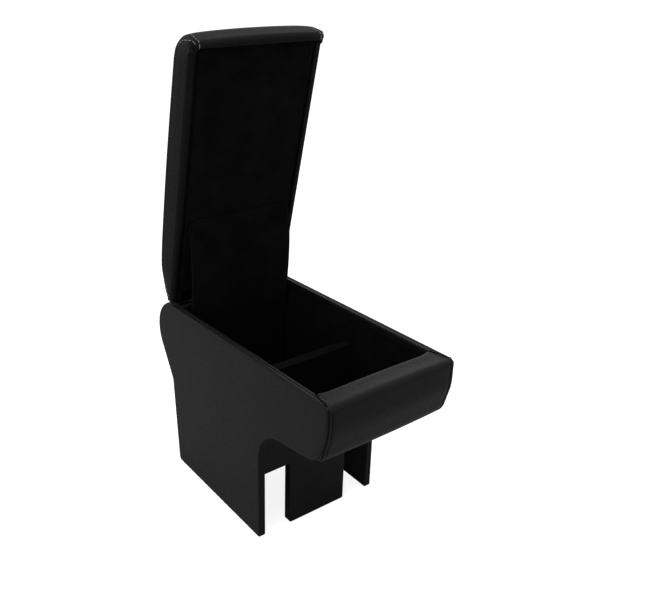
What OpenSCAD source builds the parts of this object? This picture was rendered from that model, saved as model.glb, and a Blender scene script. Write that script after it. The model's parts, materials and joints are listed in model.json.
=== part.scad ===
// Car centre armrest: a felt-lined bin between two side cheeks that stand on
// the floor as legs, with a padded nose, a tongue between the legs, and a
// padded lid on a piano hinge at the back.
// Millimetres. X runs across, Y from the nose (negative) to the rear, Z up.
// The origin is on the floor, in the middle of the footprint.
// The lid is drawn open, leaning forward of upright.

/* [Side cheeks] */
// Width over the side covers
body_w = 170; // [150:1:200]
// Depth of a leg at the floor
leg_d = 191; // [175:1:205]
// How much further back the leg reaches at the waist
leg_lean = 7; // [0:0.5:12]
// Height of the waist, where the rear bulge starts
waist_h = 120; // [110:1:130]
// Round at the waist
waist_r = 20; // [5:1:40]
// Distance of the bulge's sharp corner behind the front panel
bulge_y = 244; // [236:1:250]
// Height of the bulge's sharp corner
bulge_h = 202; // [192:1:208]
// Round of the rear bulge
bulge_r = 45; // [30:1:46]
// Where the rim ends and the bulge starts, behind the front panel
shoulder_y = 202; // [200:0.5:206]
// Round of the shoulder
shoulder_r = 4; // [1:0.5:6]
// Height of the rim in the plane of the front panel
rim_h = 234.3; // [225:0.5:245]
// Slope of the rim in degrees, rising to the front
rim_slope = 2.5; // [0:0.1:4]
// Round at the leg's rear foot corner
foot_r = 5; // [1:0.5:10]
// Round at the leg's front foot corner
toe_r = 1.5; // [1:0.5:6]

/* [Nose] */
// Reach of the nose in front of the front panel
nose_reach = 121; // [110:1:135]
// Round of the nose's top edge
nose_top_r = 4; // [2:0.5:8]
// Height at which the nose front starts to run back
brow_h = 205; // [200:1:222]
// Round of the brow
brow_r = 62; // [20:1:90]
// Reach of the chin's sharp corner in front of the front panel
chin_reach = 105.5; // [95:0.5:109]
// Height of the chin's sharp corner
chin_h = 167; // [155:0.5:175]
// Round of the chin
chin_r = 29; // [10:1:38]
// Height at which the underside would meet the front panel
arch_h = 149; // [135:1:158]
// Round between the underside and the front panel
arch_r = 42; // [20:1:50]
// Depth of the nose over the bin's front wall, measured at the rim
nose_d = 30; // [24:1:45]

/* [Boards and covers] */
// Thickness of the leatherette
skin_t = 1.1; // [0.8:0.1:1.6]
// Thickness of the side cheek boards
cheek_t = 6.5; // [5:0.5:9]
// Thickness of the flat boards of the bin
board_t = 6.5; // [5:0.5:8]
// Thickness of the bent boards of the nose and the rear
bent_t = 3; // [2:0.5:4]
// Thickness of the felt
felt_t = 1.5; // [1.2:0.1:2]
// How far the leatherette is folded down inside the rim
rim_fold = 14; // [8:1:25]
// How far the leatherette is folded round the edges of the legs
leg_fold = 15; // [8:1:25]

/* [Front panel] */
// Width of the tongue between the legs
tongue_w = 82; // [60:0.2:100]
// Thickness of the front panel's board
panel_t = 10; // [5:0.5:12]
// Height of the slots beside the tongue
slot_h = 86; // [70:1:95]
// How far the leatherette is folded onto the back of the tongue
tongue_fold = 12; // [6:1:20]

/* [Bin] */
// Gap from the top of the slots up to the floor board
floor_gap = 2; // [1:0.5:6]
// Top of the divider above the floor
divider_top = 191; // [140:1:205]
// Distance of the divider behind the front panel
divider_y = 37.5; // [25:0.5:110]
// Thickness of the divider board
divider_t = 10; // [6:0.5:12]
// Side play of the divider
divider_play = 0.2; // [0.1:0.1:0.5]

/* [Lid] */
// Width of the lid
lid_w = 168; // [148:1:200]
// How far the closed lid reaches past the nose
lid_over = 23; // [20:1:32]
// Thickness of the padded lid
lid_t = 34; // [28:1:45]
// Round of the lid's front top edge
lid_front_r = 22; // [12:1:24]
// Round of the lid's front bottom edge at its sides
lid_lip_r = 12; // [6:1:14]
// How far the lip at the lid's front hangs below its underside
lip_h = 9; // [5:0.5:12]
// Thickness of the lip, along the lid
lip_d = 12.5; // [10:0.5:14]
// Round of the lip's bottom edges
lip_r = 5; // [2:0.5:5]
// Round of the lid's rear top edge
lid_rear_r = 26; // [12:1:28]
// Round of the lid's side edges
lid_edge_r = 6; // [3:0.5:9]
// Round of the lid's corners seen from above
lid_corner_r = 14; // [8:1:20]
// Distance of a top seam from the lid's side
seam_in = 9.5; // [7:0.5:14]
// Thickness of the lid board
lid_board_t = 8; // [6:0.5:10]
// How far the foam overhangs the lid board
lid_board_in = 5; // [4:0.5:8]
// Width of the leatherette folded under the lid's sides
lid_fold = 8; // [6:0.5:12]
// Groove between the folded leatherette and the felt under the lid
groove = 1.5; // [0.5:0.1:3]
// Lean of the open lid forward of upright, in degrees
lid_lean = 13.1; // [8:0.1:20]
// Gap between the rim and the lid's leatherette when closed
lid_gap = 0.8; // [0.7:0.1:1.5]
// Gap between the rim and the lid's rear end when open
stop_gap = 0.5; // [0.3:0.1:1]

/* [Hinge] */
// Distance of the hinge pin behind the front panel
pin_y = 191; // [188:0.5:193]
// Length of the piano hinge
hinge_l = 140; // [100:1:145]
// Number of knuckles, an odd number
knuckles = 7; // [5:2:11]
// Outside radius of a knuckle
knuckle_r = 2.5; // [2:0.1:2.8]
// Radius of the hinge pin
pin_r = 1.2; // [1:0.1:1.4]
// Running clearance of the pin, on the radius
pin_play = 0.05; // [0.02:0.01:0.09]
// Thickness of a hinge leaf
leaf_t = 1; // [0.8:0.1:1.5]
// Width of a hinge leaf from the pin to its edge
leaf_w = 18; // [14:1:20]
// Gap between knuckles, and between knuckles and what they pass
knuckle_gap = 0.5; // [0.3:0.1:0.8]

/* [Flap] */
// Width of the flap that covers the hinge
flap_w = 140; // [110:1:146]
// Thickness of the flap
flap_t = 2; // [1.2:0.1:2.5]
// Distance of the flap's top edge from the hinge, along the lid
flap_reach = 117; // [90:1:140]
// Round of the flap's top corners
flap_r = 9; // [3:1:20]
// How far the flap bows away from the lid
flap_bow = 27; // [15:1:35]

/* [Screws] */
// Radius of a screw's shank
screw_r = 1.5; // [1.2:0.1:1.8]
// Radius of a screw's head
screw_head_r = 3; // [2.5:0.1:3.5]
// Height of a screw's countersunk head
screw_head_h = 1.8; // [1.2:0.1:2.4]
// Length of the screws through the side cheeks
cheek_screw_l = 28; // [18:1:35]
// Length of the screws in the hinge's fixed leaf
leaf_screw_l = 6; // [5:0.5:7]
// Length of the screws in the hinge's lid leaf
lid_screw_l = 9; // [7:0.5:10]
// Number of screws in each hinge leaf
leaf_screws = 4; // [3:1:6]

/* [Quality] */
// Steps in each round corner of an outline
arc_steps = 8; // [5:1:12]

/* [Hidden] */
$fn = 32;

leather_col = [0.13, 0.13, 0.135];
felt_col = [0.07, 0.07, 0.075];
board_col = [0.45, 0.36, 0.27];
foam_col = [0.75, 0.72, 0.6];
steel_col = [0.7, 0.71, 0.73];
eps = 0.01;
far = 1000;

// Round corners. A corner is [y, z, radius]; neighbouring rounds share an edge
// that is too short for both.
function unit(v) = v / norm(v);
function xy(v) = [v[0], v[1]];
function turn(a, b) = acos(min(1, max(-1, unit(a) * unit(b))));
function pick(v, i) = v[(i + len(v)) % len(v)];
function tangent(v, i) =
    let (c = xy(pick(v, i)), p = xy(pick(v, i - 1)), n = xy(pick(v, i + 1)))
    pick(v, i)[2] / tan(turn(p - c, n - c) / 2);
function share(v, i, k) =
    let (edge = norm(xy(pick(v, i)) - xy(pick(v, i + k))))
    min(1, 0.999 * edge / max(eps, tangent(v, i) + tangent(v, i + k)));
function arc_corner(v, i) =
    let (c = xy(pick(v, i)),
         a = unit(xy(pick(v, i - 1)) - c),
         b = unit(xy(pick(v, i + 1)) - c),
         half = turn(a, b) / 2,
         r = pick(v, i)[2] * min(share(v, i, -1), share(v, i, 1)),
         m = c + unit(a + b) * r / sin(half),
         s = c + a * r / tan(half) - m,
         e = c + b * r / tan(half) - m,
         a0 = atan2(s[1], s[0]),
         sweep = (atan2(e[1], e[0]) - a0 + 540) % 360 - 180)
    r < 0.05 ? [c] : [for (k = [0:arc_steps]) m + r * [cos(a0 + sweep * k / arc_steps),
                                                        sin(a0 + sweep * k / arc_steps)]];
function rounded(v) = [for (i = [0:len(v) - 1]) each arc_corner(v, i)];

// The outline moved inward, each edge by its own distance. Edge i runs from
// corner i to corner i + 1 of an anticlockwise outline.
function left_of(e) = [-e[1], e[0]];
function inset_corner(v, d, i) =
    let (c = xy(pick(v, i)),
         e1 = unit(c - xy(pick(v, i - 1))),
         e2 = unit(xy(pick(v, i + 1)) - c),
         n1 = left_of(e1),
         n2 = left_of(e2),
         d1 = pick(d, i - 1),
         d2 = pick(d, i),
         det = n1[0] * n2[1] - n1[1] * n2[0],
         move = [d1 * n2[1] - d2 * n1[1], n1[0] * d2 - n2[0] * d1] / det,
         grow = det > 0 ? -min(d1, d2) : max(d1, d2))
    [c[0] + move[0], c[1] + move[1], max(0, pick(v, i)[2] + grow)];
function inset(v, d) = [for (i = [0:len(v) - 1]) inset_corner(v, d, i)];

// Side view of a cheek, as [y, z, radius] corners, anticlockwise from the toe.
function rim_z(y) = rim_h - y * tan(rim_slope);
cheek = [[0, 0, toe_r],
         [leg_d, 0, foot_r],
         [leg_d + leg_lean, waist_h, waist_r],
         [bulge_y, bulge_h, bulge_r],
         [shoulder_y, rim_z(shoulder_y), shoulder_r],
         [-nose_reach, rim_z(-nose_reach), nose_top_r],
         [-nose_reach, brow_h, brow_r],
         [-chin_reach, chin_h, chin_r],
         [0, arch_h, arch_r]];
// Insets of its edges: floor, leg and rear bulge, rim, nose and underside and panel.
function edges(floor_in, rear_in, rim_in, front_in) =
    [floor_in, rear_in, rear_in, rear_in, rim_in, front_in, front_in, front_in, front_in];
function cheek_points(d) = rounded(inset(cheek, d));
outer = cheek_points(edges(0, 0, 0, 0));
mid_y = (max([for (p = outer) p[0]]) + min([for (p = outer) p[0]])) / 2;

half_w = body_w / 2;
cheek_in = half_w - skin_t - cheek_t;
bin_half = cheek_in - felt_t;
fold_half = cheek_in - skin_t;
panel_top = arch_h - tangent(cheek, 8);
panel_in = skin_t + panel_t;
panel_d = panel_in + skin_t;
wall_in = -nose_reach + nose_d - felt_t;
wall_out = wall_in - board_t;
floor_z = slot_h + floor_gap;
floor_top = floor_z + board_t;
rear_out = pin_y - knuckle_r - knuckle_gap;
rear_in = rear_out - board_t;
shelf_y = pin_y + knuckle_r + 2 * knuckle_gap;

// The lid's own frame has its origin on the pin, Y back and Z up when closed.
lining_face = skin_t - felt_t;
lid_z = knuckle_r + knuckle_gap;
pin_z = rim_z(pin_y) + (lid_gap - lid_z) / cos(rim_slope);
open_deg = 90 - lid_lean;
// Distance of the lid's rear end in front of the pin, at height z over the pin
function rear_end(z) =
    (rim_z(pin_y) + stop_gap - pin_z) / cos(lid_lean) - z * tan(lid_lean);
lid_l = pin_y + nose_reach + lid_over;
lid_side = [[-rear_end(lid_z), lid_z, 1.5],
            [-rear_end(lid_z + lid_t), lid_z + lid_t, lid_rear_r],
            [-lid_l, lid_z + lid_t, lid_front_r],
            [-lid_l, lid_z, lid_lip_r]];
// Insets of its edges: rear end, top, front end, underside.
function lid_points(end_in, top_in, under_in) =
    rounded(inset(lid_side, [end_in, top_in, end_in, under_in]));
// The same between the seams, with the lip that hangs in front of the nose.
lip_side = [lid_side[0],
            lid_side[1],
            lid_side[2],
            [-lid_l, lid_z - lip_h, lip_r],
            [-lid_l + lip_d, lid_z - lip_h, lip_r],
            [-lid_l + lip_d, lid_z, 0]];
function lip_points(d) = rounded(inset(lip_side, [d, d, d, d, d, d]));
lid_half = lid_w / 2;
seam_x = lid_half - seam_in;
lining_half = lid_half - lid_fold - groove;
lid_front_in = lid_l - lip_d - groove;
lid_rear_in = leaf_w + 1;

// Centre line of the flap, a curve from the lid down to the foot of the bin.
function on_lid(s, z) = [pin_y - s * sin(lid_lean) + z * cos(lid_lean),
                         pin_z + s * cos(lid_lean) + z * sin(lid_lean)];
flap_a = on_lid(flap_reach, lid_z + lining_face - flap_t / 2 - 0.1);
flap_d = [rear_in - felt_t - flap_t / 2 - 0.6, floor_top + felt_t + 1];
flap_b = [flap_d[0] - flap_bow, flap_a[1] - (flap_a[1] - flap_d[1]) / 3];
flap_c = [flap_d[0] + 0.13 * flap_bow, flap_a[1] - (flap_a[1] - flap_d[1]) * 2 / 3];
function bezier(a, b, c, d, t) =
    a * pow(1 - t, 3) + b * 3 * pow(1 - t, 2) * t + c * 3 * (1 - t) * t * t + d * t * t * t;
flap_steps = 24;
flap_line = [for (i = [0:flap_steps]) bezier(flap_a, flap_b, flap_c, flap_d, i / flap_steps)];
function flap_side(i) =
    let (a = flap_line[max(0, i - 1)], b = flap_line[min(flap_steps, i + 1)])
    left_of(unit(b - a)) * flap_t / 2;

// A solid across the part, from x0 to x1, with the (y, z) shape given.
module across(x0, x1) {
    translate([x0, 0, 0])
        rotate([90, 0, 90])
            linear_extrude(x1 - x0)
                children();
}
// A solid from y0 to y1, with the (x, z) shape given.
module along(y0, y1) {
    translate([0, y1, 0])
        rotate([90, 0, 0])
            linear_extrude(y1 - y0)
                children();
}
module box_2d(y0, z0, y1, z1) {
    translate([y0, z0])
        square([y1 - y0, z1 - z0]);
}
module place() {
    translate([0, -mid_y, 0])
        children();
}
module on_side(right) {
    mirror([right ? 1 : 0, 0, 0])
        children();
}
module cheek_2d(d) {
    polygon(cheek_points(d));
}
// A layer of the cheek's outline between two depths, but not along the floor.
module layer_2d(d0, d1) {
    difference() {
        cheek_2d(edges(0, d0, d0, d0));
        cheek_2d(edges(0, d1, d1, d1));
    }
}

// Screws lie along +X from the face of their head.
module screw(l, r, head_r) {
    rotate([0, 90, 0]) {
        cylinder(h = screw_head_h, r1 = head_r, r2 = r);
        cylinder(h = l, r = r);
    }
}
floor_mid = floor_z + board_t / 2;
rear_mid = rear_in + board_t / 2;
rear_low = floor_top;
rear_high = pin_z - leaf_w;
wall_mid = wall_out + board_t / 2;
wall_low = arch_h - (chin_h - arch_h) * wall_mid / chin_reach + skin_t + bent_t;
cheek_screw_at = [[leg_d * 0.16, floor_mid],
                  [leg_d * 0.5, floor_mid],
                  [leg_d * 0.84, floor_mid],
                  [rear_mid, rear_low + (rear_high - rear_low) * 0.2],
                  [rear_mid, rear_low + (rear_high - rear_low) * 0.9],
                  [wall_mid, wall_low + (rim_z(wall_mid) - wall_low) * 0.35],
                  [wall_mid, wall_low + (rim_z(wall_mid) - wall_low) * 0.78]];
module cheek_screws() {
    for (p = cheek_screw_at)
        translate([-half_w + skin_t, p[0], p[1]])
            screw(cheek_screw_l, screw_r, screw_head_r);
}
module both_cheek_screws() {
    cheek_screws();
    mirror([1, 0, 0])
        cheek_screws();
}

// Side cheeks and their covers.
module side_board(right) {
    color(board_col)
        place()
            on_side(right)
                difference() {
                    across(-half_w + skin_t, -cheek_in)
                        cheek_2d(edges(0, skin_t, skin_t, skin_t));
                    cheek_screws();
                }
}
// Plan of the front cover's mitred share of the nose.
module nose_share() {
    translate([0, 0, brow_h / 2])
        linear_extrude(far)
            polygon([[-fold_half, wall_in + skin_t],
                     [-half_w + skin_t, -nose_reach],
                     [-half_w + skin_t, -nose_reach - 1],
                     [half_w - skin_t, -nose_reach - 1],
                     [half_w - skin_t, -nose_reach],
                     [fold_half, wall_in + skin_t]]);
}
module rim_fold_2d() {
    intersection() {
        difference() {
            cheek_2d(edges(0, 0, 0, 0));
            cheek_2d(edges(0, 0, rim_fold, 0));
        }
        box_2d(wall_in, waist_h, rear_in, far);
    }
}
module leg_fold_2d() {
    intersection() {
        layer_2d(0, leg_fold);
        box_2d(-1, 0, far, slot_h - 1);
    }
}
module side_cover(right) {
    color(leather_col)
        place()
            on_side(right)
                difference() {
                    union() {
                        across(-half_w, -half_w + skin_t)
                            cheek_2d(edges(0, 0, 0, 0));
                        across(-half_w + skin_t, -cheek_in)
                            layer_2d(0, skin_t);
                        across(-cheek_in, -fold_half) {
                            rim_fold_2d();
                            leg_fold_2d();
                        }
                    }
                    nose_share();
                }
}
module left_side_board() { side_board(false); }
module right_side_board() { side_board(true); }
module left_side_cover() { side_cover(false); }
module right_side_cover() { side_cover(true); }

// Front panel with its tongue, as an (x, z) shape with its free edges moved in.
module panel_2d(d, top) {
    t = tongue_w / 2 - d;
    s = slot_h + d;
    polygon([[-t, 0], [t, 0], [t, s], [cheek_in, s], [cheek_in, top], [-cheek_in, top],
             [-cheek_in, s], [-t, s]]);
}
module front_panel_board() {
    color(board_col)
        place()
            along(skin_t, panel_in)
                panel_2d(skin_t, panel_top);
}
// The nose and underside, without the rim behind the nose and the front panel.
module nose_zone_2d() {
    difference() {
        box_2d(-far, panel_top, panel_in, far);
        box_2d(wall_in, (chin_h + rim_h) / 2, far, far);
    }
}
module nose_bent_board() {
    color(board_col)
        place()
            across(-cheek_in, cheek_in)
                intersection() {
                    difference() {
                        cheek_2d(edges(0, skin_t, skin_t, skin_t));
                        cheek_2d(edges(0, skin_t, skin_t - 1, skin_t + bent_t));
                    }
                    nose_zone_2d();
                }
}
module nose_inside_2d() {
    cheek_2d(edges(0, skin_t, skin_t, skin_t + bent_t));
}
module nose_pad() {
    color(foam_col)
        place()
            across(-cheek_in, cheek_in)
                intersection() {
                    nose_inside_2d();
                    box_2d(-far, 0, wall_out, far);
                }
}
module front_wall_board() {
    color(board_col)
        place()
            difference() {
                across(-cheek_in, cheek_in)
                    intersection() {
                        nose_inside_2d();
                        box_2d(wall_out, 0, wall_in, far);
                    }
                both_cheek_screws();
            }
}
module front_cover() {
    color(leather_col)
        place() {
            intersection() {
                across(-half_w + skin_t, half_w - skin_t)
                    intersection() {
                        layer_2d(0, skin_t);
                        nose_zone_2d();
                    }
                union() {
                    nose_share();
                    translate([-cheek_in, -far / 2, 0])
                        cube([2 * cheek_in, far, chin_h + nose_d]);
                }
            }
            across(-fold_half, fold_half)
                intersection() {
                    difference() {
                        cheek_2d(edges(0, 0, 0, 0));
                        cheek_2d(edges(0, 0, rim_fold, 0));
                    }
                    box_2d(wall_in, brow_h / 2, wall_in + skin_t, far);
                }
            difference() {
                along(0, panel_d)
                    panel_2d(0, panel_top);
                along(skin_t, panel_in)
                    panel_2d(skin_t, far);
                along(panel_in - eps, panel_d + eps)
                    panel_2d(tongue_fold, far);
                translate([-far / 2, panel_in, floor_z])
                    cube(far);
            }
        }
}

// Boards of the bin.
module floor_board() {
    color(board_col)
        place()
            difference() {
                across(-cheek_in, cheek_in)
                    box_2d(panel_in, floor_z, rear_in, floor_top);
                both_cheek_screws();
            }
}
module rear_board() {
    color(board_col)
        place()
            difference() {
                across(-cheek_in, cheek_in)
                    intersection() {
                        cheek_2d(edges(0, 0, lid_gap / 2 + leaf_t, 0));
                        box_2d(rear_in, floor_z, rear_out, far);
                    }
                both_cheek_screws();
                leaf_screw_row();
            }
}
module rear_zone_2d() {
    difference() {
        box_2d(leg_d / 2, floor_z, far, far);
        box_2d(-far, waist_h, shelf_y, far);
    }
}
module rear_bent_board() {
    color(board_col)
        place()
            across(-cheek_in, cheek_in)
                intersection() {
                    layer_2d(skin_t, skin_t + bent_t);
                    rear_zone_2d();
                }
}
module rear_cover() {
    color(leather_col)
        place()
            across(-cheek_in, cheek_in)
                intersection() {
                    layer_2d(0, skin_t);
                    rear_zone_2d();
                }
}

// Side view of the bin's inside, made smaller by d.
module bin_2d(d) {
    difference() {
        intersection() {
            cheek_2d(edges(0, 0, 0, skin_t + bent_t + d));
            box_2d(wall_in + d, floor_top + d, rear_in - d, far);
        }
        box_2d(-far, -far, panel_in + d, panel_top + d);
    }
}
module bin_layer_2d() {
    difference() {
        bin_2d(0);
        bin_2d(felt_t);
    }
}
module side_lining(right) {
    color(felt_col)
        place()
            on_side(right)
                across(-cheek_in, -bin_half)
                    intersection() {
                        bin_2d(0);
                        cheek_2d(edges(0, 0, rim_fold, 0));
                    }
}
module left_lining() { side_lining(false); }
module right_lining() { side_lining(true); }
module front_lining() {
    color(felt_col)
        place()
            across(-bin_half, bin_half)
                intersection() {
                    bin_layer_2d();
                    cheek_2d(edges(0, 0, rim_fold, 0));
                    box_2d(-far, 0, panel_in + felt_t, far);
                }
}
module floor_lining() {
    color(felt_col)
        place()
            across(-bin_half, bin_half)
                box_2d(panel_in + felt_t, floor_top, rear_in, floor_top + felt_t);
}
module rear_lining() {
    color(felt_col)
        place()
            across(-bin_half, bin_half)
                intersection() {
                    cheek_2d(edges(0, 0, lid_gap / 2 + leaf_t, 0));
                    box_2d(rear_in - felt_t, floor_top + felt_t, rear_in, far);
                }
}
divider_half = bin_half - divider_play;
module divider_board() {
    color(board_col)
        place()
            across(-divider_half, divider_half)
                box_2d(divider_y + felt_t, floor_top + felt_t,
                       divider_y + felt_t + divider_t, divider_top - felt_t);
}
module divider_lining() {
    color(felt_col)
        place()
            across(-divider_half, divider_half)
                difference() {
                    box_2d(divider_y, floor_top + felt_t,
                           divider_y + divider_t + 2 * felt_t, divider_top);
                    box_2d(divider_y + felt_t, 0,
                           divider_y + felt_t + divider_t, divider_top - felt_t);
                }
}
module assembly_screws() {
    color(steel_col)
        place()
            both_cheek_screws();
}

// Piano hinge. Both leaves are drawn round the pin, the leaf along -Y and on +Z.
knuckle_l = hinge_l / knuckles;
plate_z = knuckle_r + knuckle_gap;
screw_x = [for (i = [0:leaf_screws - 1]) (i + 0.5 - leaf_screws / 2) * hinge_l / leaf_screws];
screw_y = -(leaf_w + knuckle_r) / 2;
module pin_rod(r, x0, l) {
    translate([x0, 0, 0])
        rotate([0, 90, 0])
            cylinder(h = l, r = r);
}
module leaf_screw_shapes(l) {
    for (x = screw_x)
        translate([x, screw_y, plate_z - leaf_t])
            rotate([0, -90, 0])
                screw(l, screw_r, screw_head_r);
}
module leaf(first) {
    difference() {
        union() {
            translate([-hinge_l / 2, -leaf_w, plate_z - leaf_t])
                cube([hinge_l, leaf_w - plate_z, leaf_t]);
            for (i = [first:2:knuckles - 1]) {
                x = -hinge_l / 2 + i * knuckle_l + knuckle_gap / 2;
                pin_rod(knuckle_r, x, knuckle_l - knuckle_gap);
                translate([x, -plate_z - eps, plate_z - leaf_t - knuckle_gap])
                    cube([knuckle_l - knuckle_gap, plate_z + eps, leaf_t]);
                translate([x, -plate_z - eps, plate_z - leaf_t - knuckle_gap])
                    cube([knuckle_l - knuckle_gap, leaf_t, leaf_t + knuckle_gap]);
            }
        }
        pin_rod(pin_r + pin_play, -hinge_l, 2 * hinge_l);
        leaf_screw_shapes(lid_screw_l);
    }
}
// The fixed leaf hangs down behind the rear board.
module at_fixed_leaf() {
    translate([0, pin_y, pin_z])
        rotate([90, 0, 0])
            children();
}
module leaf_screw_row() {
    at_fixed_leaf()
        leaf_screw_shapes(leaf_screw_l);
}
module hinge_fixed_leaf() {
    color(steel_col)
        place()
            at_fixed_leaf()
                leaf(0);
}
module hinge_pin() {
    color(steel_col)
        place()
            translate([0, pin_y, pin_z])
                pin_rod(pin_r, -hinge_l / 2, hinge_l);
}
module hinge_fixed_screws() {
    color(steel_col)
        place()
            leaf_screw_row();
}

// Lid, drawn closed round the pin and then opened.
module open_lid() {
    place()
        translate([0, pin_y, pin_z])
            rotate([-open_deg, 0, 0])
                children();
}
// One slice of the lid's side, at an angle round its edge.
module lid_slice(angle, d) {
    x = lid_half - d - lid_edge_r * (1 - sin(angle));
    c = 1 - cos(angle);
    across(x - eps, x)
        polygon(lid_points(d + lid_corner_r * c, d + lid_edge_r * c, d));
}
module lid_edge(d) {
    hull() {
        across(seam_x, seam_x + eps)
            polygon(lid_points(d, d, d));
        for (angle = [0:22.5:90])
            lid_slice(angle, d);
    }
}
module lid_window() {
    translate([-lid_half + lid_fold, -lid_front_in - groove, 0])
        cube([lid_w - 2 * lid_fold, lid_front_in + groove - lid_rear_in, lid_z + skin_t]);
}
module lid_board_shape() {
    inner = lid_half - lid_board_in;
    translate([0, 0, lid_z + skin_t])
        linear_extrude(lid_board_t)
            polygon(rounded([[-inner, -lid_l + lid_lip_r + lid_board_in, lid_board_in],
                             [inner, -lid_l + lid_lip_r + lid_board_in, lid_board_in],
                             [inner, -lid_board_in, lid_board_in],
                             [-inner, -lid_board_in, lid_board_in]]));
}
module lid_board() {
    color(board_col)
        open_lid()
            difference() {
                lid_board_shape();
                leaf_screw_shapes(lid_screw_l);
            }
}
// The foam between the seams; the cover closes the lip's ends.
module foam_strip() {
    across(-seam_x, seam_x)
        polygon(lid_points(skin_t, skin_t, skin_t));
    across(-seam_x + skin_t, seam_x - skin_t)
        polygon(lip_points(skin_t));
}
module lid_foam() {
    color(foam_col)
        open_lid()
            difference() {
                union() {
                    foam_strip();
                    lid_edge(skin_t);
                    mirror([1, 0, 0])
                        lid_edge(skin_t);
                }
                lid_board_shape();
            }
}
module lid_top_cover() {
    color(leather_col)
        open_lid()
            difference() {
                across(-seam_x, seam_x)
                    polygon(lip_points(0));
                foam_strip();
                lid_window();
                leaf_screw_shapes(lid_screw_l);
            }
}
module lid_side_cover(right) {
    color(leather_col)
        open_lid()
            on_side(!right)
                difference() {
                    lid_edge(0);
                    intersection() {
                        lid_edge(skin_t);
                        translate([seam_x - 1, -far / 2, -far / 2])
                            cube(far);
                    }
                    lid_window();
                }
}
module lid_left_cover() { lid_side_cover(false); }
module lid_right_cover() { lid_side_cover(true); }
module lid_lining() {
    color(felt_col)
        open_lid()
            difference() {
                translate([-lining_half, -lid_front_in, lid_z + lining_face])
                    cube([2 * lining_half, lid_front_in - lid_rear_in - groove, felt_t]);
                leaf_screw_shapes(lid_screw_l);
            }
}
module hinge_lid_leaf() {
    color(steel_col)
        open_lid()
            leaf(1);
}
module hinge_lid_screws() {
    color(steel_col)
        open_lid()
            leaf_screw_shapes(lid_screw_l);
}
module hinge_flap() {
    color(felt_col)
        place()
            intersection() {
                across(-flap_w / 2, flap_w / 2)
                    polygon([for (i = [0:flap_steps]) flap_line[i] + flap_side(i),
                             for (i = [flap_steps:-1:0]) flap_line[i] - flap_side(i)]);
                along(-far / 2, far / 2)
                    polygon(rounded([[-flap_w / 2, 0, 0],
                                     [flap_w / 2, 0, 0],
                                     [flap_w / 2, flap_a[1] + flap_t, flap_r],
                                     [-flap_w / 2, flap_a[1] + flap_t, flap_r]]));
            }
}

left_side_board();
right_side_board();
left_side_cover();
right_side_cover();
front_panel_board();
nose_bent_board();
nose_pad();
front_wall_board();
front_cover();
floor_board();
rear_board();
rear_bent_board();
rear_cover();
left_lining();
right_lining();
front_lining();
floor_lining();
rear_lining();
divider_board();
divider_lining();
assembly_screws();
hinge_fixed_leaf();
hinge_pin();
hinge_fixed_screws();
lid_board();
lid_foam();
lid_top_cover();
lid_left_cover();
lid_right_cover();
lid_lining();
hinge_lid_leaf();
hinge_lid_screws();
hinge_flap();
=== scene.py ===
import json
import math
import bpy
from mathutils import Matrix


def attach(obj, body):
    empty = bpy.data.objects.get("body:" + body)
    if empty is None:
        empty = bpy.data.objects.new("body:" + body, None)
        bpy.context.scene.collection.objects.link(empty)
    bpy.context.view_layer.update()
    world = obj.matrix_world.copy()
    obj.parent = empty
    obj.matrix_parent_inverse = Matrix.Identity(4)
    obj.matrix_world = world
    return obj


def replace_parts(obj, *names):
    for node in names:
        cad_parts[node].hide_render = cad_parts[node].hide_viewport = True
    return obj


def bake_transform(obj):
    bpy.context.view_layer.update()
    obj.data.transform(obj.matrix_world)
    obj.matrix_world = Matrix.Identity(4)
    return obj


bl_info = {
    "name": "Car Centre Armrest",
    "version": (1, 0, 0),
    "blender": (4, 5, 0),
    "location": "3D View > Sidebar > Armrest",
    "description": "Dresses the armrest's frame: leatherette covers, padded lid, seams, felt and stage",
    "category": "Object",
}

import bmesh
import bpy
import numpy as np
from bpy.props import FloatProperty, FloatVectorProperty, IntProperty, PointerProperty
from bpy.types import Operator, Panel, PropertyGroup
from mathutils import Matrix, Vector

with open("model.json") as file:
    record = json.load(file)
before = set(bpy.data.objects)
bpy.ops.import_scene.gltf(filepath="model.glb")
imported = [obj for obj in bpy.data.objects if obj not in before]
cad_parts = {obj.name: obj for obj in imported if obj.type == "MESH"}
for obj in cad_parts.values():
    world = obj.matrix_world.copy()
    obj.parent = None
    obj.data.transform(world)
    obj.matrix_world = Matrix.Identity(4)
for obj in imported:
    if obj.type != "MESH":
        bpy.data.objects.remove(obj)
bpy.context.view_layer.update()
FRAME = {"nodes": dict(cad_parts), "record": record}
MM = 0.001

# Sizes in millimetres: the solids' own, but for the lid's width (168 there) and its seams (9.5 there)
BODY_W, LEG_D, LEG_LEAN, WAIST_H = 170.0, 191.0, 7.0, 120.0
RIM_H, RIM_SLOPE, NOSE, NOSE_D = 234.3, 2.5, 121.0, 30.0
BULGE_REACH, BULGE_H, BULGE_R, BULGE_TOP = 244.0, 202.0, 45.0, 202.0
BROW_H, BROW_R, CHIN_REACH, CHIN_H, CHIN_R, ARCH_H, ARCH_R = 205.0, 62.0, 105.5, 167.0, 29.0, 149.0, 42.0
SKIN, CHEEK_T, BOARD, FELT = 1.1, 6.5, 6.5, 1.5
SLOT_H, TONGUE_W, PANEL_T, RIM_FOLD, LEG_FOLD = 86.0, 82.0, 10.0, 14.0, 15.0
PIN_Y, PIN_BACK, LID_Z, LID_W, LID_T, LID_OVER, LEAN = 191.0, 3.0, 3.0, 169.0, 34.0, 23.0, 13.1
SEAM_IN, LID_GAP, STOP_GAP, LIP_H, LIP_D = 4.0, 0.8, 0.5, 9.0, 12.5
FLAP_W, FLAP_T, FLAP_REACH, FLAP_R, FLAP_BOW = 140.0, 2.0, 117.0, 9.0, 27.0
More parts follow.
